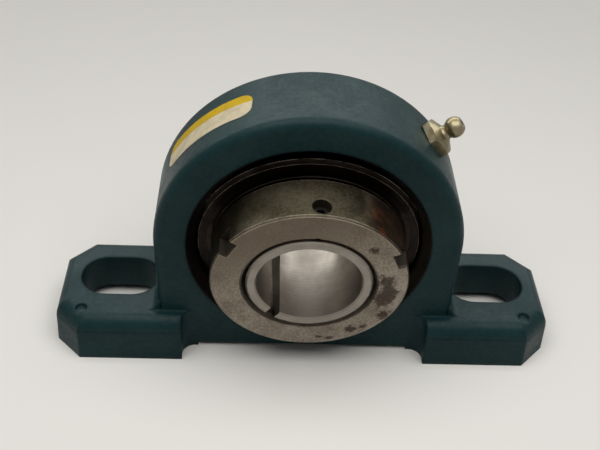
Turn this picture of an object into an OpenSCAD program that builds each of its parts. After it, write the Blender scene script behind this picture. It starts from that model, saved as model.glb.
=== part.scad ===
// Pillow block ball bearing: cast housing, self-aligning insert, adapter sleeve and locking collar.
// Millimetres. Origin where the shaft axis crosses the middle plane of the housing.
// X runs along the base, -Y is the collar side (front), +Z is up.

/* [Housing] */
// Length of the base
base_length = 177.8; // [172:0.1:200]
// Depth of the feet, front to back
base_depth = 44.6; // [40:0.1:60]
// Height of the shaft axis over the base plane
centre_height = 47.6; // [47:0.1:58]
// Height of the feet
foot_height = 17.8; // [15:0.1:23]
// Plan cut across each corner of the base
foot_corner = 9; // [6:0.5:12]
// Draft of the feet's walls over their height
foot_draft = 0.8; // [0.4:0.1:1.5]
// Rounding of the top edges of the feet
foot_edge = 4; // [2:0.1:7]
// Clear distance between the two feet
feet_gap = 87; // [80:0.5:92]
// Rounding in plan where the feet meet the faces of the web
gap_corner = 4.5; // [2:0.1:6]
// Height of the underside relief between the feet
base_relief = 1.8; // [1:0.1:3.5]
// Width of the bolt slots
slot_width = 19.3; // [13:0.1:21]
// Wall between each bolt slot and the end of the base
end_wall = 7.65; // [6:0.05:10]
// Travel of a bolt along its slot
slot_travel = 9.1; // [4:0.1:10]
// Distance of the slots behind the middle plane
slot_offset = 2; // [0:0.1:3]
// Depth of the cored recess under each slot
core_depth = 3.6; // [2:0.1:6]
// Rim left round the cored recess
core_rim = 5; // [3:0.1:7]
// Outside diameter of the housing ring
ring_d = 104.4; // [98:0.1:112]
// Width of the housing ring
ring_width = 30.4; // [28:0.1:34]
// Rounding of the ring's outer edges
ring_edge = 3; // [1:0.1:4]
// Fillet between the ring and the feet
ring_fillet = 3.5; // [2:0.1:9]
// Diameter of the mouth at the ring's faces
mouth_d = 82.8; // [81:0.1:90]
// Width of the spherical seat
seat_width = 23; // [21.5:0.1:25]
// Diameter of the dowel spots on the feet
spot_d = 4.2; // [2:0.1:6]
// Depth of the dowel spots
spot_depth = 1.2; // [0.5:0.1:2]
// Distance of the dowel spots from the ends of the base
spot_inset = 10.1; // [9:0.1:14]
// Distance of the dowel spots in front of the slots' centre line
spot_offset = 14.9; // [13:0.1:16]

/* [Bearing insert] */
// Downward tilt of the insert's front, in degrees
insert_tilt = 6.5; // [0:0.1:7.5]
// Largest tilt of the insert either way, in degrees
tilt_limit = 8; // [8:0.5:9]
// Spherical outside diameter of the outer ring
insert_d = 80; // [79:0.1:81]
// Width of the outer ring
outer_ring_width = 21; // [20:0.1:22]
// Chamfer on the outer ring's corners
outer_ring_chamfer = 1.2; // [0.4:0.1:1.8]
// Diameter of the circle through the ball centres
pitch_d = 60; // [59:0.1:61]
// Diameter of the balls
ball_d = 11.906; // [11:0.001:12.5]
// Number of balls
ball_count = 9; // [9:1:9]
// Groove radius as a share of the ball diameter
groove_share = 0.52; // [0.51:0.005:0.54]
// Height of the raceway shoulders above the groove bottom
shoulder = 2.6; // [2:0.1:2.8]
// Rear end of the inner ring behind the middle plane
inner_ring_rear = 14.5; // [13:0.1:17]
// Radial thickness of the cage
cage_wall = 5; // [3:0.1:5.2]
// Length of the cage prongs in front of the ball centres
cage_prong = 2.6; // [1.5:0.1:3.5]
// Thickness of the cage back behind the balls
cage_back = 1.3; // [0.8:0.1:1.5]
// Depth of each seal recess in the outer ring
seal_recess = 2.5; // [2.2:0.1:2.6]
// Thickness of the rubber seal
seal_t = 1; // [0.6:0.1:1.2]
// Thickness of the seal shroud's sheet
shroud_t = 0.6; // [0.4:0.05:0.7]
// Thickness of the flingers
flinger_t = 0.8; // [0.5:0.05:0.9]
// Outside diameter of the flingers
flinger_d = 66; // [62:0.5:68]
// Diameter of the anti-rotation pin
pin_d = 4; // [3:0.1:5]
// Length of the anti-rotation pin
pin_length = 3.8; // [3:0.1:4]

/* [Adapter sleeve] */
// Shaft diameter
shaft_d = 34.925; // [33:0.005:36]
// Front end of the sleeve before the middle plane
sleeve_front = 28.7; // [28.4:0.1:31]
// Rear end of the sleeve behind the middle plane
sleeve_rear = 20; // [17:0.1:24]
// Outside diameter of the sleeve's thread
thread_d = 42; // [40:0.05:42.4]
// Diameter at the small end of the cone
cone_d = 42.6; // [42.5:0.05:43.2]
// Length over which the cone's diameter grows by one
cone_rate = 12; // [11:0.5:16]
// Width of the sleeve's slit
slit_width = 3.9; // [2:0.1:5]
// Angle of the slit from +X towards +Z, in degrees
slit_angle = 231.7; // [0:0.1:360]

/* [Locking collar] */
// Outside diameter of the collar
collar_d = 65.4; // [62:0.1:68]
// Front face of the collar before the middle plane
collar_front = 28.2; // [27:0.1:28.3]
// Back face of the collar before the middle plane
collar_back = 12; // [11.8:0.1:12.4]
// Bevel on the collar's edges
collar_bevel = 0.6; // [0.2:0.1:1]
// Bevel at the front of the collar's bore
bore_bevel = 1.3; // [0.5:0.1:2]
// Outside diameter of the inner ring's hub inside the collar
hub_d = 50.4; // [49:0.1:51]
// Front end of the hub before the middle plane
hub_front = 17.6; // [17:0.1:18.5]
// Width of the spanner notches
notch_width = 6.8; // [4:0.1:9]
// Radial depth of the spanner notches
notch_depth = 3.2; // [2:0.1:4]
// Axial length of the spanner notches
notch_length = 7; // [4:0.1:9]
// Angle of each notch either side of the set screw, in degrees
notch_spread = 62.5; // [40:0.5:80]
// Diameter of the set screw
screw_d = 6; // [5:0.1:6.4]
// Length of the set screw
screw_length = 8; // [6:0.1:8.2]
// Distance of the set screw behind the collar's front face
screw_setback = 4.4; // [4:0.1:5.5]
// Angle of the set screw from +X towards +Z, in degrees
screw_angle = 86; // [60:0.5:120]
// Width of the snap ring's wire
snap_w = 1.3; // [0.8:0.1:1.5]
// Radial height of the snap ring's wire
snap_h = 1.8; // [1.2:0.1:2]
// Distance of the snap ring in front of the collar's back face
snap_offset = 3; // [2:0.1:3.5]

/* [Grease fitting] */
// Angle of the fitting from +X towards +Z, in degrees
fitting_angle = 40.5; // [30:0.5:60]
// Distance of the fitting behind the middle plane
fitting_offset = 3.3; // [0:0.1:5]
// Width across the hexagon's flats
hex_width = 12; // [10:0.01:12.7]
// Height of the hexagon
hex_height = 2.8; // [2.4:0.1:3]
// Diameter of the fitting's thread
fitting_thread_d = 9.7; // [8:0.05:10.2]
// Length of the fitting's thread in the housing
fitting_thread_length = 6.5; // [5:0.1:7]
// Diameter of the ball head
head_d = 7; // [6.5:0.01:7.2]
// Height of the fitting above the ring
fitting_height = 10.8; // [10.6:0.1:13]
// Diameter of the neck under the ball head
neck_d = 4.9; // [4:0.1:5.4]
// Diameter of the grease passage
passage_d = 3; // [2.5:0.1:3.4]
// Diameter of the check ball
check_ball_d = 2.4; // [1.8:0.05:2.4]
// Wire diameter of the check spring
check_wire_d = 0.35; // [0.2:0.05:0.4]
// Number of turns of the check spring
check_turns = 5; // [3:1:7]

/* [Label] */
// Angle of the label's middle from +X towards +Z, in degrees
label_angle = 132.9; // [110:0.1:150]
// Length of the label round the ring
label_length = 36.5; // [24:0.1:40]
// Width of the label
label_width = 11.6; // [8:0.1:14]
// Rounding of the label's corners
label_corner = 4; // [1:0.1:5]
// Thickness of the label
label_t = 0.15; // [0.1:0.01:0.4]
// Distance of the label's middle behind the middle plane
label_offset = 0.8; // [0:0.1:3]
// Skew of the label on the ring, in degrees
label_skew = 3.6; // [0:0.1:6]

/* [Fits] */
// Clearance of the outer ring in the spherical seat
seat_clearance = 0.06; // [0.03:0.01:0.1]
// Radial clearance of turning and sliding fits
running_clearance = 0.05; // [0.02:0.01:0.1]
// Clearance between the balls and the raceways
ball_clearance = 0.03; // [0.01:0.01:0.06]
// Clearance between the balls and the cage pockets
pocket_clearance = 0.25; // [0.1:0.05:0.4]
// Clearance of pieces fixed in a seat
fixed_clearance = 0.02; // [0.01:0.01:0.05]
// Axial gap between pieces that turn past each other
axial_gap = 0.25; // [0.1:0.05:0.3]

/* [Hidden] */
$fn = 96;
cut = 1;
ring_r = ring_d / 2;
ring_half = ring_width / 2;
mouth_r = mouth_d / 2;
base_z = -centre_height;
foot_top = base_z + foot_height;
relief_z = base_z + base_relief;
web_x = ring_r - 0.1;
slot_reach = ring_fillet + cut;
seat_r = insert_d / 2 + seat_clearance;
seat_half = seat_width / 2;
seat_edge_r = sqrt(pow(seat_r, 2) - pow(seat_half, 2));
groove_half = 3.5;
groove_depth = 1.2;
insert_r = insert_d / 2;
outer_half = outer_ring_width / 2;
pitch_r = pitch_d / 2;
ball_r = ball_d / 2;
groove_r = groove_share * ball_d;
outer_groove_r = pitch_r + ball_r + ball_clearance;
inner_groove_r = pitch_r - ball_r - ball_clearance;
outer_land_r = outer_groove_r - shoulder;
inner_land_r = inner_groove_r + shoulder;
seal_seat_r = outer_land_r + 1.1;
seal_inside = outer_half - seal_recess;
shroud_r = seal_seat_r - fixed_clearance;
shroud_front = outer_half - 0.4;
seal_front = shroud_front - shroud_t - fixed_clearance;
flinger_start = outer_half + axial_gap;
flinger_end = flinger_start + flinger_t;
thread_r = thread_d / 2;
bore_r = shaft_d / 2;
hub_r = hub_d / 2;
collar_r = collar_d / 2;
counterbore_end = hub_front + axial_gap;
snap_middle = collar_back + snap_offset;
snap_inner_r = hub_r - snap_h / 2;
snap_outer_r = hub_r + snap_h / 2;
snap_opening = 24;
screw_a = collar_front - screw_setback;
screw_tip_r = thread_r + 0.4;
screw_tip_height = 0.8;
screw_bevel = 0.15;
socket_width = 3;
socket_depth = 2.6;
lens_d = 3.4;
pin_inner_r = insert_r - 2;
pin_slot_half = (insert_r + pin_length) * sin(tilt_limit) + pin_d / 2 + 0.6;
pin_slot_r = pin_inner_r + pin_length + 0.5;
loading_start = 1.5;
loading_r = seat_r + 0.3;
loading_half = outer_half + 0.4;
head_r = head_d / 2;
head_z = fitting_height - head_r * 0.8;
check_ball_r = check_ball_d / 2;
check_mouth_r = check_ball_r * 0.75;
chamber_top = fitting_height - 1.15;
check_ball_z = chamber_top - sqrt(pow(check_ball_r, 2) - pow(check_mouth_r, 2)) - running_clearance;
check_travel = 0.5;
spring_top = check_ball_z - check_ball_r - check_travel - 0.1 - check_wire_d / 2;
spring_r = (passage_d - check_wire_d) / 2 - fixed_clearance;
spring_length = 4;
spring_seat_z = spring_top - spring_length - check_wire_d / 2 - fixed_clearance;
feed_d = passage_d - 1;

// Radius of the sleeve's cone at distance a in front of the middle plane
function cone_r(a) = cone_d / 2 + (hub_front - a) / (2 * cone_rate);

// Angle of ball number i round the insert's axis
function ball_angle(i) = 90 + i * 360 / ball_count;

ball_names = [for (i = [1:ball_count]) str("ball_", i)];

// Revolves a profile of radius and forward distance about the shaft axis
module turned() {
    rotate([90, 0, 0]) rotate_extrude() children();
}

// Puts a piece of the insert at its tilt in the housing
module in_insert() {
    rotate([insert_tilt, 0, 0]) children();
}

// Turns a piece that points along +Z to point outwards at an angle round the shaft axis
module outwards(angle) {
    rotate([0, 90 - angle, 0]) children();
}

// Section of a bar with drafted sides and its top edges eased by arcs that meet the faces at a slight angle
module eased_bar(width, bottom, top, edge_height, edge) {
    arc_in = 1.3 * edge;
    arc_r = norm([arc_in, arc_in - edge]);
    slope = foot_draft / foot_height;
    bottom_x = width / 2 - slope * bottom;
    top_x = width / 2 - slope * top;
    edge_x = width / 2 - slope * edge_height;
    difference() {
        polygon([[-bottom_x, bottom], [bottom_x, bottom], [top_x, top], [-top_x, top]]);
        for (side = [0, 1]) mirror([side, 0]) translate([edge_x - arc_in, edge_height - arc_in]) difference() {
            square([arc_in + 2 * cut, arc_in + top]);
            circle(arc_r);
        }
    }
}

// Rounded rectangle about its middle
module round_rect(length, width, radius) {
    square([length - 2 * radius, width], center = true);
    square([length, width - 2 * radius], center = true);
    for (sx = [-1, 1], sy = [-1, 1])
        translate([sx * (length / 2 - radius), sy * (width / 2 - radius)]) circle(radius);
}

// Bar of the base: its corners are cut off in plan and all its top edges are eased
module base_bar() {
    corner_width = sqrt(2) * (base_length / 2 + base_depth / 2 - foot_corner);
    long = base_length + 2 * cut;
    over = foot_height + cut;
    corner_edge = 1.15 * foot_edge;
    translate([0, 0, base_z]) intersection() {
        rotate([90, 0, 90]) translate([0, 0, -long / 2]) linear_extrude(long)
            eased_bar(base_depth, 0, foot_height, foot_height, foot_edge);
        rotate([90, 0, 0]) translate([0, 0, -base_depth]) linear_extrude(2 * base_depth)
            eased_bar(base_length, -cut, over, foot_height, foot_edge);
        rotate([90, 0, 45]) translate([0, 0, -long / 2]) linear_extrude(long)
            eased_bar(corner_width, -cut, over, foot_height, corner_edge);
        rotate([90, 0, -45]) translate([0, 0, -long / 2]) linear_extrude(long)
            eased_bar(corner_width, -cut, over, foot_height, corner_edge);
    }
}

// Web that carries the ring between the feet, with its fillets
module web() {
    fillet_x = web_x + ring_fillet;
    translate([0, 0, relief_z]) linear_extrude(-relief_z) round_rect(2 * web_x, ring_width, ring_edge);
    for (side = [0, 1]) mirror([side, 0, 0]) rotate([90, 0, 0])
        translate([0, 0, -ring_half]) linear_extrude(ring_width) difference() {
            translate([web_x - cut, foot_top - cut]) square([ring_fillet + cut, ring_fillet + cut]);
            translate([fillet_x, foot_top + ring_fillet]) circle(ring_fillet);
        }
}

// Section of the housing ring, solid to the shaft axis
module ring_section() {
    square_r = ring_r - ring_edge;
    translate([0, -ring_half]) square([square_r, ring_width]);
    translate([0, ring_edge - ring_half]) square([ring_r, ring_width - 2 * ring_edge]);
    for (side = [-1, 1]) translate([square_r, side * (ring_half - ring_edge)]) circle(ring_edge);
}

// Spherical seat with its grease groove and bevelled mouths
module seat() {
    inside = 0.3;
    start = [seat_edge_r, seat_half] - inside * ([mouth_r, ring_half] - [seat_edge_r, seat_half]);
    sphere(seat_r);
    rotate([90, 0, 0]) cylinder(r = seat_r + groove_depth, h = 2 * groove_half, center = true);
    for (side = [0, 1]) mirror([0, side, 0]) turned()
        polygon([[0, start.y], start, [mouth_r, ring_half], [mouth_r, ring_half + cut], [0, ring_half + cut]]);
}

// Through slots for the foundation bolts and the cored recess round each
module bolt_slots() {
    far = base_length / 2 - end_wall - slot_width / 2;
    near = far - slot_travel;
    core_near = near - slot_width / 2 - 1;
    core_far = base_length / 2 - core_rim;
    core_depth_y = base_depth - 2 * core_rim;
    for (side = [-1, 1]) {
        translate([0, 0, base_z - cut]) linear_extrude(foot_height + slot_reach + cut) {
            translate([side * (near + far) / 2, slot_offset]) square([far - near, slot_width], center = true);
            for (x = [near, far]) translate([side * x, slot_offset]) circle(d = slot_width);
        }
        translate([side * (core_near + core_far) / 2, 0, base_z - cut]) linear_extrude(core_depth + cut)
            round_rect(core_far - core_near, core_depth_y, core_rim);
    }
}

// Cuts that let the insert in crosswise from the rear
module loading_slots() {
    intersection() {
        rotate([-90, 0, 0]) translate([0, 0, loading_start]) cylinder(r = loading_r, h = ring_width);
        cube([2 * ring_d, 4 * ring_width, 2 * loading_half], center = true);
    }
}

module housing() {
    color("#284e54") difference() {
        union() {
            difference() {
                base_bar();
                for (side = [-1, 1])
                    translate([0, side * (ring_half + base_depth / 2), base_z - cut])
                        linear_extrude(foot_height + 2 * cut) round_rect(feet_gap, base_depth, gap_corner);
            }
            web();
            intersection() {
                turned() ring_section();
                translate([-ring_d, -ring_width, relief_z]) cube([2 * ring_d, 2 * ring_width, 2 * ring_d]);
            }
        }
        translate([0, 0, base_z])
            cube([feet_gap - 2 * gap_corner - 2 * cut, 2 * base_depth, 2 * base_relief], center = true);
        seat();
        bolt_slots();
        loading_slots();
        translate([0, 0, -pin_slot_r / 2])
            cube([pin_d + 6 * running_clearance, 2 * pin_slot_half, pin_slot_r], center = true);
        for (side = [-1, 1])
            translate([side * (base_length / 2 - spot_inset), -spot_offset, foot_top - spot_depth])
                cylinder(d = spot_d, h = spot_depth + cut);
        translate([0, fitting_offset, 0]) outwards(fitting_angle) {
            cylinder(d = passage_d, h = ring_r);
            translate([0, 0, ring_r - fitting_thread_length - cut])
                cylinder(d = fitting_thread_d + 2 * fixed_clearance, h = fitting_thread_length + 2 * cut);
        }
    }
}

module label() {
    bottom_r = ring_r + fixed_clearance;
    color("#e3c22e") intersection() {
        rotate([90, 0, 0]) difference() {
            cylinder(r = bottom_r + label_t, h = ring_width, center = true);
            cylinder(r = bottom_r, h = ring_width + cut, center = true);
        }
        outwards(label_angle) translate([0, label_offset, ring_r / 2]) rotate([0, 0, -label_skew])
            linear_extrude(ring_r) round_rect(label_length, label_width, label_corner);
    }
}

// Outline of the fitting above and below the ring's surface, to be revolved
module fitting_section() {
    thread_r = fitting_thread_d / 2;
    shoulder_r = hex_width / 2 - 0.2;
    neck_r = neck_d / 2;
    neck_z = head_z - sqrt(pow(head_r, 2) - pow(neck_r, 2));
    top_r = sqrt(pow(head_r, 2) - pow(fitting_height - head_z, 2));
    polygon([[0, -fitting_thread_length], [thread_r - 0.6, -fitting_thread_length],
             [thread_r, 0.6 - fitting_thread_length], [thread_r, hex_height / 2], [shoulder_r, hex_height / 2],
             [shoulder_r, hex_height], [neck_r + 0.5, hex_height + 1.5], [neck_r, hex_height + 2.1],
             [neck_r, neck_z + 0.1], [0, neck_z + 0.1]]);
    intersection() {
        translate([0, head_z]) circle(head_r);
        translate([0, neck_z]) square([head_r + cut, fitting_height - neck_z]);
    }
}

// Hexagon of the fitting with its corners chamfered at the top
module fitting_hex() {
    corner_r = hex_width / 2 / cos(30);
    top_r = hex_width / 2 - 0.1;
    chamfer = (corner_r - top_r) * tan(30);
    intersection() {
        cylinder(r = corner_r, h = hex_height, $fn = 6);
        rotate_extrude() polygon([[0, -cut], [corner_r + cut, -cut], [corner_r + cut, hex_height - chamfer],
                                  [corner_r, hex_height - chamfer], [top_r, hex_height], [0, hex_height]]);
    }
}

// Places a piece of the fitting on the ring, pointing outwards
module on_fitting() {
    translate([0, fitting_offset, 0]) outwards(fitting_angle) translate([0, 0, ring_r]) children();
}

module grease_fitting() {
    color("#a89a62") on_fitting() difference() {
        union() {
            rotate_extrude() fitting_section();
            fitting_hex();
        }
        translate([0, 0, -fitting_thread_length - cut])
            cylinder(d = feed_d, h = fitting_thread_length + spring_seat_z + 2 * cut);
        translate([0, 0, spring_seat_z]) cylinder(d = passage_d, h = chamber_top - spring_seat_z);
        translate([0, 0, spring_seat_z]) cylinder(r = check_mouth_r, h = fitting_height);
    }
}

module check_ball() {
    color("silver") on_fitting() translate([0, 0, check_ball_z]) sphere(check_ball_r);
}

// Tube of a coil spring as rings of points joined in order
module coil(radius, wire_r, length, turns) {
    rings = 14 * turns;
    sides = 6;
    points = [for (i = [0:rings], j = [0:sides - 1])
        let (turn = 360 * turns * i / rings, side = 360 * j / sides, r = radius + wire_r * cos(side))
            [r * cos(turn), r * sin(turn), length * i / rings + wire_r * sin(side)]];
    walls = [for (i = [0:rings - 1], j = [0:sides - 1])
        let (k = (j + 1) % sides)
            [i * sides + j, (i + 1) * sides + j, (i + 1) * sides + k, i * sides + k]];
    ends = [[for (j = [0:sides - 1]) j], [for (j = [sides - 1:-1:0]) rings * sides + j]];
    polyhedron(points, concat(walls, ends), convexity = 10);
}

module check_spring() {
    color("gray") on_fitting() translate([0, 0, spring_top - spring_length])
        coil(spring_r, check_wire_d / 2, spring_length, check_turns);
}

module anti_rotation_pin() {
    color("dimgray") in_insert() mirror([0, 0, 1]) translate([0, 0, pin_inner_r])
        cylinder(d = pin_d, h = pin_length);
}

// Section of the outer ring: spherical outside, ball groove, seal recesses
module outer_ring_section() {
    difference() {
        intersection() {
            circle(insert_r);
            translate([0, -outer_half]) square([insert_r + cut, outer_ring_width]);
            c = outer_ring_chamfer;
            edge_r = sqrt(pow(insert_r, 2) - pow(outer_half, 2));
            polygon([[0, -outer_half], [edge_r - c, -outer_half], [edge_r + 2 * c, 2 * c - outer_half],
                     [insert_r + cut, 0], [edge_r + 2 * c, outer_half - 2 * c], [edge_r - c, outer_half],
                     [0, outer_half]]);
        }
        translate([-cut, -outer_half - cut]) square([outer_land_r + cut, outer_ring_width + 2 * cut]);
        translate([outer_groove_r - groove_r, 0]) circle(groove_r);
        for (side = [-1, 1])
            translate([0, side * (outer_half + seal_inside) / 2 + side * cut / 2])
                square([2 * seal_seat_r, seal_recess + cut], center = true);
    }
}

module outer_ring() {
    color("#6e5a48") in_insert() difference() {
        turned() outer_ring_section();
        mirror([0, 0, 1]) translate([0, 0, pin_inner_r - fixed_clearance])
            cylinder(d = pin_d + 2 * running_clearance, h = pin_length + cut);
    }
}

module inner_ring() {
    bore = running_clearance;
    color("#8a8078") in_insert() turned() difference() {
        polygon([[cone_r(-inner_ring_rear) + bore, -inner_ring_rear], [inner_land_r, -inner_ring_rear],
                 [inner_land_r, collar_back - axial_gap], [hub_r, collar_back - axial_gap],
                 [hub_r, hub_front], [cone_r(hub_front) + bore, hub_front]]);
        translate([inner_groove_r + groove_r, 0]) circle(groove_r);
        translate([snap_inner_r - 2 * fixed_clearance, snap_middle - snap_w / 2 - fixed_clearance])
            square([snap_h + cut, snap_w + 2 * fixed_clearance]);
    }
}

module cage() {
    color("#b98a4a") in_insert() difference() {
        turned() translate([pitch_r - cage_wall / 2, -ball_r - pocket_clearance - cage_back])
            square([cage_wall, cage_prong + ball_r + pocket_clearance + cage_back]);
        for (i = [1:ball_count])
            outwards(ball_angle(i)) translate([0, 0, pitch_r]) sphere(ball_r + pocket_clearance);
    }
}

module ball(i) {
    color("gainsboro") in_insert() outwards(ball_angle(i)) translate([0, 0, pitch_r]) sphere(ball_r);
}

// Section of a rubber seal with its lip on the inner ring's land
module seal_section() {
    lip_r = inner_land_r + running_clearance;
    outside_r = shroud_r - shroud_t - fixed_clearance;
    polygon([[lip_r, seal_front - seal_t], [lip_r + 0.6, seal_front - seal_t - 0.5],
             [lip_r + 1.4, seal_front - seal_t], [outside_r, seal_front - seal_t], [outside_r, seal_front],
             [lip_r + 0.8, seal_front], [lip_r, seal_front - 0.4]]);
}

// Section of a seal shroud: a disc with a rim pressed in the outer ring
module shroud_section() {
    polygon([[inner_land_r + 1.6, shroud_front - shroud_t], [shroud_r - shroud_t, shroud_front - shroud_t],
             [shroud_r - shroud_t, seal_inside + fixed_clearance], [shroud_r, seal_inside + fixed_clearance],
             [shroud_r, shroud_front], [inner_land_r + 1.6, shroud_front]]);
}

// Section of a flinger: a disc on the inner ring with a bent rim
module flinger_section() {
    flinger_r = flinger_d / 2;
    hole_r = inner_land_r + fixed_clearance;
    polygon([[hole_r, flinger_start], [flinger_r, flinger_start], [flinger_r, flinger_end - 0.2],
             [flinger_r - 0.2, flinger_end], [hole_r, flinger_end]]);
}

module front_seal() { color("#1d1c1b") in_insert() turned() seal_section(); }

module rear_seal() { color("#1d1c1b") in_insert() mirror([0, 1, 0]) turned() seal_section(); }

module front_seal_shroud() { color("#6b655d") in_insert() turned() shroud_section(); }

module rear_seal_shroud() { color("#6b655d") in_insert() mirror([0, 1, 0]) turned() shroud_section(); }

module front_flinger() { color("#3a332c") in_insert() turned() flinger_section(); }

module rear_flinger() { color("#3a332c") in_insert() mirror([0, 1, 0]) turned() flinger_section(); }

module adapter_sleeve() {
    bevel = 0.5;
    color("#9a9288") in_insert() difference() {
        turned() polygon([
            [bore_r, -sleeve_rear], [cone_r(-sleeve_rear) - bevel, -sleeve_rear],
            [cone_r(bevel - sleeve_rear), bevel - sleeve_rear], [cone_r(hub_front), hub_front],
            [thread_r, hub_front + 0.1], [thread_r, sleeve_front - bevel], [thread_r - bevel, sleeve_front],
            [bore_r + bevel, sleeve_front], [bore_r, sleeve_front - bevel]]);
        outwards(slit_angle) translate([-slit_width / 2, -sleeve_front - cut, 0])
            cube([slit_width, sleeve_front + sleeve_rear + 2 * cut, collar_r]);
    }
}

// Section of the collar: threaded front, counterbore over the inner ring's hub, snap ring groove
module collar_section() {
    bore = thread_r + running_clearance;
    seat = hub_r + running_clearance;
    bevel = collar_bevel;
    difference() {
        polygon([[seat, collar_back], [collar_r - bevel, collar_back], [collar_r, collar_back + bevel],
                 [collar_r, collar_front - bevel], [collar_r - bevel, collar_front],
                 [bore + bore_bevel, collar_front], [bore, collar_front - bore_bevel], [bore, counterbore_end],
                 [seat, counterbore_end]]);
        translate([snap_outer_r + running_clearance - snap_h, snap_middle - snap_w / 2 - running_clearance])
            square([snap_h, snap_w + 2 * running_clearance]);
    }
}

module locking_collar() {
    color("#827869") in_insert() difference() {
        turned() collar_section();
        for (side = [-1, 1])
            outwards(screw_angle + side * notch_spread)
                translate([-notch_width / 2, -collar_front - cut, collar_r - notch_depth])
                    cube([notch_width, notch_length + cut, notch_depth + cut]);
        outwards(screw_angle) translate([0, -screw_a, thread_r / 2])
            cylinder(d = screw_d + 2 * running_clearance, h = collar_r);
        outwards(screw_angle) translate([0, -screw_a, collar_r - screw_bevel - 0.2])
            cylinder(r1 = screw_d / 2, r2 = screw_d / 2 + screw_bevel + 0.2 + cut, h = screw_bevel + 0.2 + cut);
        outwards(screw_angle) translate([0, -collar_front - cut, thread_r])
            rotate([-90, 0, 0]) cylinder(d = lens_d, h = bore_bevel + cut + 0.5);
    }
}

module collar_snap_ring() {
    color("dimgray") in_insert() difference() {
        turned() translate([snap_inner_r, snap_middle - snap_w / 2]) square([snap_h, snap_w]);
        outwards(screw_angle + 180) translate([0, -snap_middle, hub_r])
            cube([hub_d * sin(snap_opening / 2), 2 * snap_w, 2 * snap_h], center = true);
    }
}

module set_screw() {
    color("#2b2622") in_insert() outwards(screw_angle) translate([0, -screw_a, screw_tip_r]) difference() {
        rotate_extrude() polygon([[0, 0], [screw_d / 2 - screw_tip_height, 0], [screw_d / 2, screw_tip_height],
                                  [screw_d / 2, screw_length - 0.3], [screw_d / 2 - 0.3, screw_length],
                                  [0, screw_length]]);
        translate([0, 0, screw_length - socket_depth])
            cylinder(d = socket_width / cos(30), h = socket_depth + cut, $fn = 6);
    }
}

housing();
label();
grease_fitting();
check_ball();
check_spring();
anti_rotation_pin();
outer_ring();
inner_ring();
cage();
for (i = [1:ball_count]) ball(i);
front_seal();
rear_seal();
front_seal_shroud();
rear_seal_shroud();
front_flinger();
rear_flinger();
adapter_sleeve();
locking_collar();
collar_snap_ring();
set_screw();
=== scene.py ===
"""Looks of a pillow block bearing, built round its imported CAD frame."""

from math import cos, radians, sin

import bpy
from mathutils import Euler, Matrix, Vector


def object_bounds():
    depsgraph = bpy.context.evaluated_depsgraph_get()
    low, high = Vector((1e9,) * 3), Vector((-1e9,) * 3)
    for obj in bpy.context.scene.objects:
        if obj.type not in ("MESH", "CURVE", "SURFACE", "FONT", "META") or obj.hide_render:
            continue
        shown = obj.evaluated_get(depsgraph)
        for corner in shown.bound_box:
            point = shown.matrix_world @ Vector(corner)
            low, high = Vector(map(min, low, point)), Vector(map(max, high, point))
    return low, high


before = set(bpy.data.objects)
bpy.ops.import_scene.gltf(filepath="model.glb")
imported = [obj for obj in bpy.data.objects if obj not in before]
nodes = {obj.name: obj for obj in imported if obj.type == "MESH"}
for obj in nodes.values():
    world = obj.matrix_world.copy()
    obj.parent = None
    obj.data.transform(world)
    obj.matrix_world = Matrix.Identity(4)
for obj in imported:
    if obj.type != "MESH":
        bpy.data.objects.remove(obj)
cad_low, cad_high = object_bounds()

# Camera that looks down on the collar side
CAMERA_PLACE = Vector((-0.016224, -0.25162, 0.21438))
CAMERA_YAW = radians(3.08)
CAMERA_PITCH = radians(40.61)
CAMERA_ROLL = radians(3.48)
CAMERA_LENS = 57.21
SENSOR_WIDTH = 36

# Floor under the feet, which fades into the backdrop between two distances from the bearing
FLOOR_Z = cad_low.z
FLOOR_SIZE = 8
FADE_START = 0.26
FADE_END = 0.48
BACKDROP_TONE = (0.62, 0.605, 0.575, 1)

# Dim even light from all round
FILL_TONE = (0.93, 0.95, 1, 1)
FILL_STRENGTH = 0.12

# The insert hangs forward in its seat by this angle
INSERT_TILT = radians(6.5)

# Radius of the housing's mouth, inside which the casting is bare
MOUTH_R = 0.0414

# Radius outside which the edges of the outer ring are rubbed bright, with a painted highlight
RING_EDGE_R = 0.037

# Faces of the collar along the insert axis
COLLAR_FRONT = -0.0282
COLLAR_BACK = -0.012

# Radius at which the collar's side begins, and one between its bore and the floor of its notches
COLLAR_SIDE_R = 0.0322
COLLAR_MIDDLE_R = 0.027

# Radii at which the grime and painted shade round the gap at the sleeve are full and at which they end, on
# collar and sleeve
COLLAR_DIRT_SHADE_FULL_R = 0.0226
COLLAR_DIRT_SHADE_END_R = 0.0233
SLEEVE_DIRT_SHADE_FULL_R = 0.0206
SLEEVE_DIRT_SHADE_END_R = 0.02

# Places on the insert between which the gap's grime and painted shade, the darker upper left of the collar's
# face, the darker left of its side, rust with painted shade and red rust go from least to full
GAP_DIRT_AND_SHADE_Z = (0.02, 0.004)
UPPER_LEFT_DARKER = (0.008, 0.04)
LEFT_DARKER_X = (-0.012, -0.024)
RUST_AND_SHADE_X = (0.012, 0.021)
RUST_AND_SHADE_Z = (-0.026, -0.01)
RED_RUST_X = (0.03, 0.019)

# Widths of the rubbed edges with a painted highlight, of the collar and of the outer ring
COLLAR_EDGE_WIDTH = 0.0005
RING_EDGE_WIDTH = 0.0003

# Stains on the collar's face: radius, angle in degrees, depth, spread in degrees and fineness of the grain
FACE_STAINS = [
    (0.0261, -11, 0.0036, 21, 260.0),
    (0.0300, -30, 0.0022, 6, 420.0),
    (0.0284, -57, 0.0018, 4.5, 480.0),
    (0.0293, -48, 0.0013, 3.5, 480.0),
    (0.0287, -81, 0.0010, 2.4, 480.0),
    (0.0302, -73, 0.0009, 3.2, 480.0),
    (0.0262, 42, 0.0017, 4, 480.0),
    (0.0240, 7, 0.0022, 6, 420.0),
]

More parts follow.
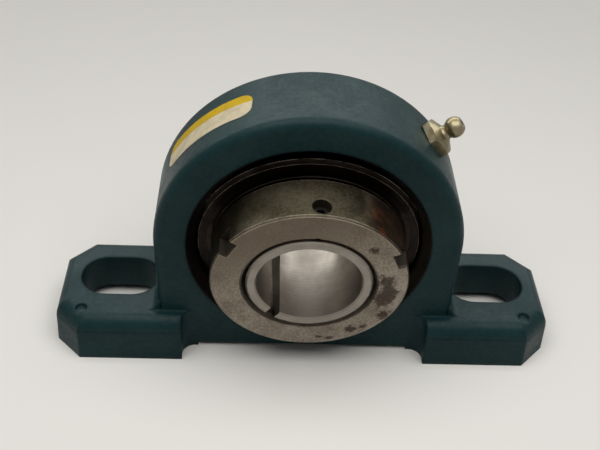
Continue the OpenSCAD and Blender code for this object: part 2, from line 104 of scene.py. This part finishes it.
# Place of the label on the ring: its radius, angle, offset to the rear, skew and dividing line
LABEL_R = 0.0522
LABEL_ANGLE = radians(132.9)
LABEL_OFFSET = 0.0008
LABEL_SKEW = radians(3.6)
LABEL_LINE = 0.0015

# Spacing of the rings that turning leaves, and their depth
FINE_RINGS = 0.0003
COLLAR_RINGS = 0.00035
BROAD_RINGS = 0.0006
RING_DEPTH = 0.00001

# Depth of the grain on cast, plated and other surfaces, and the radius by which cast edges look rounded
CAST_DEPTH = 0.0002
PLATING_DEPTH = 0.00002
GRAIN_DEPTH = 0.00001
CAST_EDGE_R = 0.0016

# Finishes, each by its dark and its pale tone
FLOOR_TONES = ((0.79, 0.775, 0.74, 1), (0.82, 0.805, 0.77, 1))
TEAL_PAINT = ((0.0028, 0.0175, 0.0192, 1), (0.0085, 0.0325, 0.0352, 1))
OILY_IRON = ((0.004, 0.003, 0.0025, 1), (0.024, 0.019, 0.015, 1))
COLLAR_STEEL = ((0.14, 0.114, 0.088, 1), (0.31, 0.272, 0.225, 1))
COLLAR_STAIN = ((0.035, 0.024, 0.018, 1), (0.07, 0.052, 0.04, 1))
OLIVE_STEEL = ((0.058, 0.05, 0.031, 1), (0.135, 0.118, 0.08, 1))
# Rust: its near-black tone is partly painted shade, its red tone real rust
RUST_AND_SHADE = ((0.0085, 0.0052, 0.0037, 1), (0.064, 0.02, 0.0066, 1))
SLEEVE_STEEL = ((0.205, 0.186, 0.16, 1), (0.3, 0.275, 0.243, 1))
RING_STEEL = ((0.2, 0.18, 0.155, 1), (0.32, 0.29, 0.26, 1))
BROWNED_STEEL = ((0.0025, 0.0019, 0.0016, 1), (0.0145, 0.0108, 0.0085, 1))
OILED_STEEL = ((0.004, 0.003, 0.003, 1), (0.028, 0.021, 0.016, 1))
BRIGHT_STEEL = ((0.5, 0.5, 0.5, 1), (0.62, 0.62, 0.62, 1))
BLACK_OXIDE = ((0.015, 0.013, 0.012, 1), (0.04, 0.034, 0.03, 1))
CHROMATED_ZINC = ((0.175, 0.15, 0.086, 1), (0.278, 0.244, 0.163, 1))
SEAL_RUBBER = ((0.008, 0.008, 0.008, 1), (0.02, 0.019, 0.018, 1))
CAGE_NYLON = ((0.42, 0.3, 0.14, 1), (0.5, 0.38, 0.2, 1))
LABEL_CREAM = ((0.5, 0.43, 0.28, 1), (0.63, 0.55, 0.39, 1))
LABEL_YELLOW = ((0.46, 0.3, 0.002, 1), (0.55, 0.36, 0.004, 1))

# Tones of wear, dirt, darkening, painted highlight and painted shade
# Rubbed edges with a painted highlight
RUBBED_STEEL_AND_HIGHLIGHT = (0.62, 0.56, 0.46, 1)
# Darker, browner tone towards the upper left of the collar's face
COLLAR_DARKER_TONE = (0.105, 0.08, 0.058, 1)
# Darker tone towards the left of the collar's side
SIDE_DARKER_TONE = (0.016, 0.013, 0.009, 1)
# Painted shade in the collar's notches
NOTCH_SHADE = (0.014, 0.011, 0.008, 1)
# Grime with painted shade round the gap at the sleeve
GAP_DIRT_AND_SHADE_TONE = (0.022, 0.0165, 0.012, 1)


class NodeBench:
    """Short words for placing and wiring shader nodes in one tree."""

    def __init__(self, tree):
        self.tree = tree
        self.column = 0

    def add(self, kind, inputs=None, **settings):
        """New node to the right of the last one, with its settings and inputs."""
        node = self.tree.nodes.new(kind)
        self.column += 1
        node.location = (180 * self.column, 0)
        for key, value in settings.items():
            setattr(node, key, value)
        for key, value in (inputs or {}).items():
            self.feed(node.inputs[key], value)
        return node

    def feed(self, socket, value):
        """Link to a socket, or its plain value."""
        if isinstance(value, bpy.types.NodeSocket):
            self.tree.links.new(value, socket)
        else:
            socket.default_value = value

    def wire(self, sockets, **values):
        """Feed sockets by their names, in which an underscore stands for a space."""
        for label, value in values.items():
            self.feed(sockets[label.replace("_", " ")], value)

    def maths(self, operation, a, b=0.5, clamp=False):
        node = self.add("ShaderNodeMath", {0: a, 1: b}, operation=operation, use_clamp=clamp)
        return node.outputs[0]

    def chain(self, operation, values):
        """One value from several, by the same operation from first to last."""
        result = values[0]
        for value in values[1:]:
            result = self.maths(operation, result, value)
        return result

    def plus(self, *values):
        return self.chain("ADD", values)

    def times(self, *values):
        return self.chain("MULTIPLY", values)

    def larger(self, *values):
        return self.chain("MAXIMUM", values)

    def minus(self, a, b):
        return self.maths("SUBTRACT", a, b)

    def over(self, a, b):
        return self.maths("DIVIDE", a, b)

    def angle(self, x, z):
        return self.maths("ARCTAN2", z, x)

    def hypotenuse(self, a, b):
        squares = self.plus(self.maths("POWER", a, 2.0), self.maths("POWER", b, 2.0))
        return self.maths("SQRT", squares)

    def weighed(self, *shares):
        """Sum of values, each times its share."""
        return self.plus(*[self.times(value, share) for value, share in shares])

    def between(self, value, low, high, start=0.0, end=1.0):
        """Smooth change from start at low to end at high."""
        inputs = {"Value": value, "From Min": low, "From Max": high, "To Min": start, "To Max": end}
        return self.add("ShaderNodeMapRange", inputs, interpolation_type="SMOOTHSTEP").outputs[0]

    def mix(self, share, a, b):
        """Colour a, with colour b by the share."""
        node = self.add("ShaderNodeMix", data_type="RGBA")
        self.feed(node.inputs[0], share)
        self.feed(node.inputs[6], a)
        self.feed(node.inputs[7], b)
        return node.outputs[2]

    def cloudy(self, tone, tones):
        """Dark and pale tones mixed by a noise."""
        return self.mix(self.between(tone, 0.3, 0.7), *tones)

    def noise(self, place, scale, detail=4.0, roughness=0.55):
        inputs = {"Vector": place, "Scale": scale, "Detail": detail, "Roughness": roughness}
        return self.add("ShaderNodeTexNoise", inputs).outputs["Fac"]

    def axes(self, place):
        """Outputs X, Y and Z of a place."""
        return self.add("ShaderNodeSeparateXYZ", {0: place}).outputs

    def object_place(self):
        return self.add("ShaderNodeTexCoord").outputs["Object"]

    def insert_place(self):
        """Place turned level with the tilted insert: X to the right, Y along its axis, Z up."""
        inputs = {"Vector": self.object_place(), "Rotation": (-INSERT_TILT, 0, 0)}
        return self.add("ShaderNodeMapping", inputs).outputs[0]

    def grouped(self, tree, **inputs):
        """Outputs of a node group that is placed with its own values."""
        node = self.add("ShaderNodeGroup", node_tree=tree)
        self.wire(node.inputs, **inputs)
        return node.outputs

    def seen_directly(self):
        """One for rays from the camera or a reflection, nought for light that falls on things."""
        path = self.add("ShaderNodeLightPath").outputs
        mirrored = self.plus(path["Is Glossy Ray"], path["Is Transmission Ray"])
        return self.maths("ADD", path["Is Camera Ray"], mirrored, clamp=True)


def new_group(name, defaults, results):
    """Node group that takes a place and values: returns its tree, bench, given sockets and results."""
    tree = bpy.data.node_groups.new(name, "ShaderNodeTree")
    tree.interface.new_socket("Place", in_out="INPUT", socket_type="NodeSocketVector")
    for label, value in defaults.items():
        socket = tree.interface.new_socket(label, in_out="INPUT", socket_type="NodeSocketFloat")
        socket.default_value = value
    for label in results:
        tree.interface.new_socket(label, in_out="OUTPUT", socket_type="NodeSocketFloat")
    bench = NodeBench(tree)
    given = bench.add("NodeGroupInput").outputs
    result = bench.add("NodeGroupOutput").inputs
    return tree, bench, given, result


def make_cast_skin():
    """Skin of sand-cast iron under paint: broad waves, fine pits and blotches."""
    tree, bench, given, result = new_group("cast_skin", {"Grain": 900.0}, ["Height", "Blotch", "Speckle"])
    fine = bench.noise(given["Place"], given["Grain"], 3.0)
    broad = bench.noise(given["Place"], bench.times(given["Grain"], 0.16), 3.0)
    blotch = bench.noise(given["Place"], bench.times(given["Grain"], 0.05), 5.0, 0.6)
    height = bench.weighed((fine, 0.35), (broad, 0.65))
    bench.wire(result, Height=height, Blotch=blotch, Speckle=bench.between(fine, 0.3, 0.7))
    return tree


def make_lathe_marks():
    """Fine rings left by turning about the insert axis, with the polar place on the piece."""
    results = ["Height", "Radius", "Angle", "Along"]
    tree, bench, given, result = new_group("lathe_marks", {"Spacing": FINE_RINGS}, results)
    x, y, z = bench.axes(given["Place"])
    radius = bench.hypotenuse(x, z)
    wobble = bench.noise(given["Place"], 120.0, 2.0)
    lane = bench.plus(radius, y, bench.times(wobble, 0.0001))
    rings = bench.add("ShaderNodeCombineXYZ", {0: bench.over(lane, given["Spacing"])})
    height = bench.noise(rings.outputs[0], 1.0, 2.0)
    bench.wire(result, Height=height, Radius=radius, Angle=bench.angle(x, z), Along=y)
    return tree


def make_stain():
    """Ragged stain round a polar place: full in the middle and broken at its edge."""
    defaults = {"Radius": 0.0, "Angle": 0.0, "Middle Radius": 0.025, "Middle Angle": 0.0,
                "Depth": 0.004, "Spread": 0.3, "Grain": 300.0}
    tree, bench, given, result = new_group("stain", defaults, ["Mask"])
    off_radius = bench.over(bench.minus(given["Radius"], given["Middle Radius"]), given["Depth"])
    off_angle = bench.over(bench.minus(given["Angle"], given["Middle Angle"]), given["Spread"])
    grain = bench.noise(given["Place"], given["Grain"], 8.0, 0.68)
    ragged = bench.times(bench.minus(grain, 0.5), 3.4)
    far = bench.plus(bench.hypotenuse(off_radius, off_angle), ragged)
    bench.wire(result, Mask=bench.between(far, 1.1, 0.5))
    return tree


def make_edge_line():
    """Narrow mask along the sharp edges of a piece, broken by noise."""
    tree, bench, given, result = new_group("edge_line", {"Width": 0.0004, "Broken": 0.5}, ["Mask"])
    rounded = bench.add("ShaderNodeBevel", {"Radius": given["Width"]}, samples=4).outputs[0]
    plain = bench.add("ShaderNodeNewGeometry").outputs["Normal"]
    facing = bench.add("ShaderNodeVectorMath", {0: rounded, 1: plain}, operation="DOT_PRODUCT")
    edge = bench.between(facing.outputs["Value"], 0.995, 0.9)
    whole = bench.between(bench.noise(given["Place"], 260.0, 4.0), 0.3, 0.6)
    lost = bench.times(bench.minus(1.0, whole), given["Broken"])
    bench.wire(result, Mask=bench.times(edge, bench.minus(1.0, lost)))
    return tree


def make_gap_dirt_and_shade():
    """Mask of oil grime and painted shade round the gap between sleeve and collar, on their fronts and
    fuller lower down.
    """
    defaults = {"Radius": 0.0, "Along": 0.0, "Full Radius": 0.022, "Clean Radius": 0.023}
    tree, bench, given, result = new_group("gap_dirt_and_shade", defaults, ["Mask"])
    height = bench.axes(given["Place"])["Z"]
    spread = bench.noise(given["Place"], 350.0, 4.0)
    ragged_r = bench.plus(given["Radius"], bench.times(bench.minus(spread, 0.5), 0.0008))
    ring = bench.between(ragged_r, given["Clean Radius"], given["Full Radius"])
    low = bench.between(bench.plus(height, bench.times(spread, 0.01)), *GAP_DIRT_AND_SHADE_Z)
    front = bench.between(given["Along"], COLLAR_FRONT + 0.006, COLLAR_FRONT + 0.002)
    bench.wire(result, Mask=bench.times(ring, low, front, 0.88))
    return tree


CAST_SKIN = make_cast_skin()
LATHE_MARKS = make_lathe_marks()
STAIN = make_stain()
EDGE_LINE = make_edge_line()
GAP_DIRT_AND_SHADE = make_gap_dirt_and_shade()


def new_material(name, **plain):
    """Material whose Principled shader has plain sockets set: returns it, its bench and the shader."""
    material = bpy.data.materials.new(name)
    material.use_nodes = True
    bench = NodeBench(material.node_tree)
    shader = material.node_tree.nodes["Principled BSDF"]
    bench.wire(shader.inputs, **plain)
    return material, bench, shader


def bump(bench, shader, height, depth, edge_r=0.0):
    """Surface relief, over edges that look rounded by edge_r when it is given."""
    node = bench.add("ShaderNodeBump", {"Height": height, "Distance": depth, "Strength": 1.0})
    if edge_r > 0:
        soft = bench.add("ShaderNodeBevel", {"Radius": edge_r}, samples=6)
        bench.wire(node.inputs, Normal=soft.outputs[0])
    bench.wire(shader.inputs, Normal=node.outputs[0])


def teal_enamel():
    """Dark teal enamel on the casting, bare and oily inside the mouth."""
    material, bench, shader = new_material("teal_enamel", Specular_IOR_Level=0.12)
    place = bench.object_place()
    skin = bench.grouped(CAST_SKIN, Place=place, Grain=700.0)
    tone = bench.weighed((bench.between(skin["Blotch"], 0.3, 0.7), 0.65), (skin["Speckle"], 0.35))
    paint = bench.mix(tone, *TEAL_PAINT)
    oily = bench.mix(bench.between(skin["Blotch"], 0.35, 0.65), *OILY_IRON)
    axes = bench.axes(place)
    inside = bench.between(bench.hypotenuse(axes["X"], axes["Z"]), MOUTH_R + 0.0001, MOUTH_R - 0.0003)
    bench.wire(shader.inputs, Base_Color=bench.mix(inside, paint, oily), Metallic=bench.times(inside, 0.4),
               Roughness=bench.between(tone, 0.2, 0.8, 0.48, 0.34))
    bump(bench, shader, skin["Height"], CAST_DEPTH, edge_r=CAST_EDGE_R)
    return material


def turned_steel(name, tones, rough, spacing=FINE_RINGS, ringed=0.0, rubbed_highlight=0.0, gap_dirt_shade=False):
    """Cloudy turned steel: ringed is the share of its rings, and the rubbed highlight share that of its
    bright outer edges, rubbed wear with a painted highlight.
    """
    material, bench, shader = new_material(name, Metallic=1.0)
    place = bench.insert_place()
    marks = bench.grouped(LATHE_MARKS, Place=place, Spacing=spacing)
    cloud = bench.noise(place, 140.0, 5.0, 0.6)
    tone = bench.weighed((cloud, 1.0 - ringed), (marks["Height"], ringed))
    colour = bench.mix(bench.between(tone, 0.36, 0.64), *tones)
    if rubbed_highlight > 0:
        edge = bench.grouped(EDGE_LINE, Place=place, Width=RING_EDGE_WIDTH, Broken=0.9)["Mask"]
        outer = bench.between(marks["Radius"], RING_EDGE_R - 0.0005, RING_EDGE_R)
        # Bright outer edges: rubbed wear with a painted highlight
        colour = bench.mix(bench.times(edge, outer, rubbed_highlight), colour, RUBBED_STEEL_AND_HIGHLIGHT)
    # Grime and painted shade round the gap at the sleeve's front
    if gap_dirt_shade:
        dirt_and_shade = bench.grouped(GAP_DIRT_AND_SHADE, Place=place, Radius=marks["Radius"], Along=marks["Along"],
                              Full_Radius=SLEEVE_DIRT_SHADE_FULL_R, Clean_Radius=SLEEVE_DIRT_SHADE_END_R)
        colour = bench.mix(dirt_and_shade["Mask"], colour, GAP_DIRT_AND_SHADE_TONE)
    roughness = bench.between(cloud, 0.25, 0.75, rough + 0.08, rough - 0.05)
    bench.wire(shader.inputs, Base_Color=colour, Roughness=roughness)
    bump(bench, shader, marks["Height"], RING_DEPTH)
    return material


def collar_face(bench, place, marks, grain, cloud, speckle):
    """Face of the collar, darker and browner towards its upper left, and stained: returns its colour and the
    stains' mask.
    """
    axes = bench.axes(place)
    upper_left = bench.minus(axes["Z"], bench.times(axes["X"], 0.4))
    upper_left_darker = bench.between(bench.plus(upper_left, bench.times(cloud, 0.02)), *UPPER_LEFT_DARKER)
    steel = bench.mix(bench.times(upper_left_darker, 0.8), bench.mix(grain, *COLLAR_STEEL), COLLAR_DARKER_TONE)
    masks = []
    for radius, angle, depth, spread, stain_grain in FACE_STAINS:
        stain = bench.grouped(STAIN, Place=place, Radius=marks["Radius"], Angle=marks["Angle"],
                              Middle_Radius=radius, Middle_Angle=radians(angle), Depth=depth,
                              Spread=radians(spread), Grain=stain_grain)
        masks.append(stain["Mask"])
    stains = bench.larger(*masks)
    colour = bench.mix(bench.times(stains, 0.85), steel, bench.mix(speckle, *COLLAR_STAIN))
    return colour, stains


def collar_side(bench, place, marks, grain, cloud):
    """Olive side of the collar, darker at the left and rusty at the right, where part of the near-black tone
    is painted shade: its colour, the rust mask and both darker ends.
    """
    axes = bench.axes(place)
    left = bench.between(bench.plus(axes["X"], bench.times(cloud, 0.01)), *LEFT_DARKER_X)
    right = bench.times(bench.between(axes["X"], *RUST_AND_SHADE_X), bench.between(axes["Z"], *RUST_AND_SHADE_Z))
    patches = bench.noise(place, 70.0, 6.0, 0.6)
    spots = bench.noise(place, 240.0, 6.0, 0.6)
    rust_and_shade = bench.times(bench.between(patches, 0.12, 0.38), right)
    inward = bench.between(axes["X"], *RED_RUST_X, 0.3, 1.0)
    forward = bench.between(marks["Along"], COLLAR_BACK - 0.002, COLLAR_FRONT + 0.007, 0.2, 1.0)
    red = bench.times(bench.between(spots, 0.38, 0.72), inward, forward)
    # Rust at the right of the side, its near-black tone partly painted shade
    colour = bench.mix(bench.times(rust_and_shade, 0.97), bench.mix(grain, *OLIVE_STEEL), bench.mix(red, *RUST_AND_SHADE))
    # Darker towards the left of the side
    colour = bench.mix(bench.times(left, 0.85), colour, SIDE_DARKER_TONE)
    return colour, rust_and_shade, bench.larger(left, right)


def collar_edges(bench, place, marks, ends):
    """Mask of the collar's outer edges, rubbed bright with a painted highlight, duller at both darker ends
    of its side.
    """
    line = bench.grouped(EDGE_LINE, Place=place, Width=COLLAR_EDGE_WIDTH, Broken=0.5)["Mask"]
    front = bench.between(marks["Along"], COLLAR_FRONT + 0.0012, COLLAR_FRONT + 0.0008)
    rear = bench.between(marks["Along"], COLLAR_BACK - 0.0012, COLLAR_BACK - 0.0008)
    outer = bench.between(marks["Radius"], COLLAR_MIDDLE_R - 0.001, COLLAR_MIDDLE_R + 0.001)
    bright = bench.minus(1.0, bench.times(ends, 0.7))
    return bench.times(line, bench.larger(front, rear), outer, bright)


def stained_collar_steel():
    """Turned steel of the collar: brown-grey speckled face, olive side, rust partly painted shade, darker
    patches, dark stains, painted shade in the notches, grime and painted shade round the sleeve, and rubbed
    edges with a painted highlight.
    """
    material, bench, shader = new_material("stained_collar_steel", Specular_IOR_Level=0.05)
    place = bench.insert_place()
    marks = bench.grouped(LATHE_MARKS, Place=place, Spacing=COLLAR_RINGS)
    cloud = bench.noise(place, 120.0, 6.0, 0.65)
    speckle = bench.noise(place, 1100.0, 4.0, 0.6)
    tone = bench.weighed((cloud, 0.4), (speckle, 0.4), (marks["Height"], 0.2))
    grain = bench.between(tone, 0.38, 0.62)
    face, stains = collar_face(bench, place, marks, grain, cloud, speckle)
    side, rust_and_shade, ends = collar_side(bench, place, marks, grain, cloud)
    on_side = bench.between(marks["Radius"], COLLAR_SIDE_R, COLLAR_SIDE_R + 0.0003)
    colour = bench.mix(on_side, face, side)
    behind = bench.between(marks["Along"], COLLAR_FRONT + 0.0008, COLLAR_FRONT + 0.0016)
    outside = bench.between(marks["Radius"], COLLAR_MIDDLE_R, COLLAR_MIDDLE_R + 0.0015)
    notch = bench.times(behind, outside, bench.minus(1.0, on_side))
    # Painted shade on the notch walls
    colour = bench.mix(bench.times(notch, 0.85), colour, NOTCH_SHADE)
    # Grime and painted shade round the gap at the collar's bore
    dirt_and_shade = bench.grouped(GAP_DIRT_AND_SHADE, Place=place, Radius=marks["Radius"], Along=marks["Along"],
                          Full_Radius=COLLAR_DIRT_SHADE_FULL_R, Clean_Radius=COLLAR_DIRT_SHADE_END_R)
    colour = bench.mix(dirt_and_shade["Mask"], colour, GAP_DIRT_AND_SHADE_TONE)
    edges = collar_edges(bench, place, marks, ends)
    # Rubbed outer edges with a painted highlight
    colour = bench.mix(bench.times(edges, 0.75), colour, RUBBED_STEEL_AND_HIGHLIGHT)
    worn = bench.larger(stains, bench.times(rust_and_shade, on_side), bench.times(notch, 0.8))
    bench.wire(shader.inputs, Base_Color=colour, Metallic=bench.between(worn, 0.2, 0.9, 0.95, 0.25),
               Roughness=bench.between(worn, 0.2, 0.9, 0.42, 0.7))
    bump(bench, shader, bench.plus(marks["Height"], bench.times(worn, 2.0)), RING_DEPTH)
    return material


def zinc_chromate():
    """Yellow chromate over zinc on the grease fitting."""
    material, bench, shader = new_material("zinc_chromate", Metallic=1.0)
    place = bench.object_place()
    tone = bench.noise(place, 260.0, 4.0)
    bench.wire(shader.inputs, Base_Color=bench.cloudy(tone, CHROMATED_ZINC),
               Roughness=bench.between(tone, 0.3, 0.7, 0.28, 0.38))
    bump(bench, shader, bench.noise(place, 2500.0, 2.0), PLATING_DEPTH)
    return material


def banded_label():
    """Stuck-on label with a yellow band at the back and a cream band in front."""
    material, bench, shader = new_material("banded_label", Specular_IOR_Level=0.08)
    place = bench.object_place()
    x, y, z = bench.axes(place)
    tone = bench.noise(place, 300.0, 4.0)
    turned = bench.minus(LABEL_ANGLE, bench.angle(x, z))
    lengthwise = bench.times(turned, LABEL_R * sin(LABEL_SKEW))
    crosswise = bench.times(bench.minus(y, LABEL_OFFSET), cos(LABEL_SKEW))
    back = bench.between(bench.plus(lengthwise, crosswise), LABEL_LINE - 0.0001, LABEL_LINE + 0.0001)
    colour = bench.mix(back, bench.cloudy(tone, LABEL_CREAM), bench.cloudy(tone, LABEL_YELLOW))
    bench.wire(shader.inputs, Base_Color=colour, Roughness=bench.between(tone, 0.3, 0.7, 0.42, 0.55))
    return material


def plain_finish(name, tones, rough, metal=0.0):
    """Cloudy finish with a fine grain."""
    material, bench, shader = new_material(name, Metallic=metal)
    place = bench.object_place()
    tone = bench.noise(place, 300.0, 5.0)
    roughness = bench.between(tone, 0.25, 0.75, rough + 0.06, rough - 0.06)
    bench.wire(shader.inputs, Base_Color=bench.cloudy(tone, tones), Roughness=roughness)
    bump(bench, shader, bench.noise(place, 1800.0, 2.0), GRAIN_DEPTH)
    return material


def dress(names, material):
    """Give the named nodes their material."""
    for name in names:
        piece = nodes[name]
        piece.data.materials.clear()
        piece.data.materials.append(material)


def add_camera():
    """Camera above the collar side, turned by its pitch, yaw and roll."""
    data = bpy.data.cameras.new("camera")
    data.sensor_width = SENSOR_WIDTH
    data.lens = CAMERA_LENS
    data.clip_start = 0.01
    camera = bpy.data.objects.new("camera", data)
    aim = Euler((radians(90) - CAMERA_PITCH, 0, -CAMERA_YAW)).to_matrix()
    turn = aim @ Matrix.Rotation(CAMERA_ROLL, 3, "Z")
    camera.location = CAMERA_PLACE
    camera.rotation_euler = turn.to_euler()
    bpy.context.collection.objects.link(camera)
    bpy.context.scene.camera = camera


def add_panel(name, place, aim, size, power, colour, gloss_only=False):
    """Area lamp at a place that shines at its aim, or that only shows in glossy surfaces."""
    data = bpy.data.lights.new(name, "AREA")
    data.shape = "RECTANGLE"
    data.size, data.size_y = size
    data.energy = power
    data.color = colour
    lamp = bpy.data.objects.new(name, data)
    lamp.location = place
    lamp.rotation_euler = (Vector(aim) - Vector(place)).to_track_quat("-Z", "Y").to_euler()
    lamp.visible_diffuse = not gloss_only
    bpy.context.collection.objects.link(lamp)


def add_light():
    """Soft panel overhead, and a wide one behind for the sheen on the upper edges."""
    add_panel("overhead_panel", place=(0, -0.12, 0.62), aim=(0, -0.08, 0), size=(0.9, 0.6), power=5.3,
              colour=(1, 0.985, 0.96))
    add_panel("rear_panel", place=(0, 0.85, 0.72), aim=(0, 0, 0), size=(3.2, 0.5), power=18.5,
              colour=(1, 0.99, 0.98), gloss_only=True)


def add_world():
    """Dim even light, which the camera and the reflections see as a pale backdrop."""
    world = bpy.data.worlds.new("studio")
    world.use_nodes = True
    bench = NodeBench(world.node_tree)
    seen = bench.seen_directly()
    bench.wire(world.node_tree.nodes["Background"].inputs, Color=bench.mix(seen, FILL_TONE, BACKDROP_TONE),
               Strength=bench.between(seen, 0.0, 1.0, FILL_STRENGTH, 1.0))
    bpy.context.scene.world = world


def add_floor():
    """Pale floor that takes the shadow and fades into the backdrop."""
    bpy.ops.object.select_all(action="DESELECT")
    bpy.ops.mesh.primitive_plane_add(size=FLOOR_SIZE, location=(0, 0, FLOOR_Z))
    floor = bpy.context.active_object
    floor.name = "floor"
    material, bench, shader = new_material("pale_floor", Roughness=0.8, Specular_IOR_Level=0.2)
    place = bench.object_place()
    bench.wire(shader.inputs, Base_Color=bench.mix(bench.noise(place, 8.0, 2.0), *FLOOR_TONES))
    distance = bench.add("ShaderNodeVectorMath", {0: place}, operation="LENGTH").outputs["Value"]
    fading = bench.times(bench.between(distance, FADE_START, FADE_END), bench.seen_directly())
    backdrop = bench.add("ShaderNodeEmission", {"Color": BACKDROP_TONE})
    blend = bench.add("ShaderNodeMixShader", {0: fading, 1: shader.outputs[0], 2: backdrop.outputs[0]})
    bench.wire(material.node_tree.nodes["Material Output"].inputs, Surface=blend.outputs[0])
    floor.data.materials.append(material)


add_camera()
add_light()
add_world()
add_floor()

# Housing and what sits on it
dress(["housing"], teal_enamel())
dress(["label"], banded_label())
dress(["grease_fitting"], zinc_chromate())

# Turned pieces of the insert
shrouds = ["front_seal_shroud", "rear_seal_shroud"]
flingers = ["front_flinger", "rear_flinger"]
dress(["locking_collar"], stained_collar_steel())
dress(["adapter_sleeve"], turned_steel("sleeve_steel", SLEEVE_STEEL, 0.36, ringed=0.6, gap_dirt_shade=True))
dress(["outer_ring"],
      turned_steel("browned_ring_steel", BROWNED_STEEL, 0.3, BROAD_RINGS, ringed=0.6, rubbed_highlight=0.6))
dress(["inner_ring"], turned_steel("ring_steel", RING_STEEL, 0.33))
dress(shrouds, turned_steel("shroud_steel", OILED_STEEL, 0.36, BROAD_RINGS, ringed=0.5))
dress(flingers, turned_steel("oiled_flinger_steel", OILED_STEEL, 0.36, BROAD_RINGS, ringed=0.5))

# Seals, cage, balls and small hardware
balls = [name for name in nodes if name.startswith("ball_")]
hardware = ["check_ball", "check_spring", "anti_rotation_pin", "collar_snap_ring"]
dress(["front_seal", "rear_seal"], plain_finish("seal_rubber", SEAL_RUBBER, 0.6))
dress(["cage"], plain_finish("cage_nylon", CAGE_NYLON, 0.5))
dress(balls + hardware, plain_finish("bright_steel", BRIGHT_STEEL, 0.18, metal=1.0))
dress(["set_screw"], plain_finish("black_oxide", BLACK_OXIDE, 0.45, metal=0.8))

bpy.context.scene.view_settings.view_transform = "Standard"
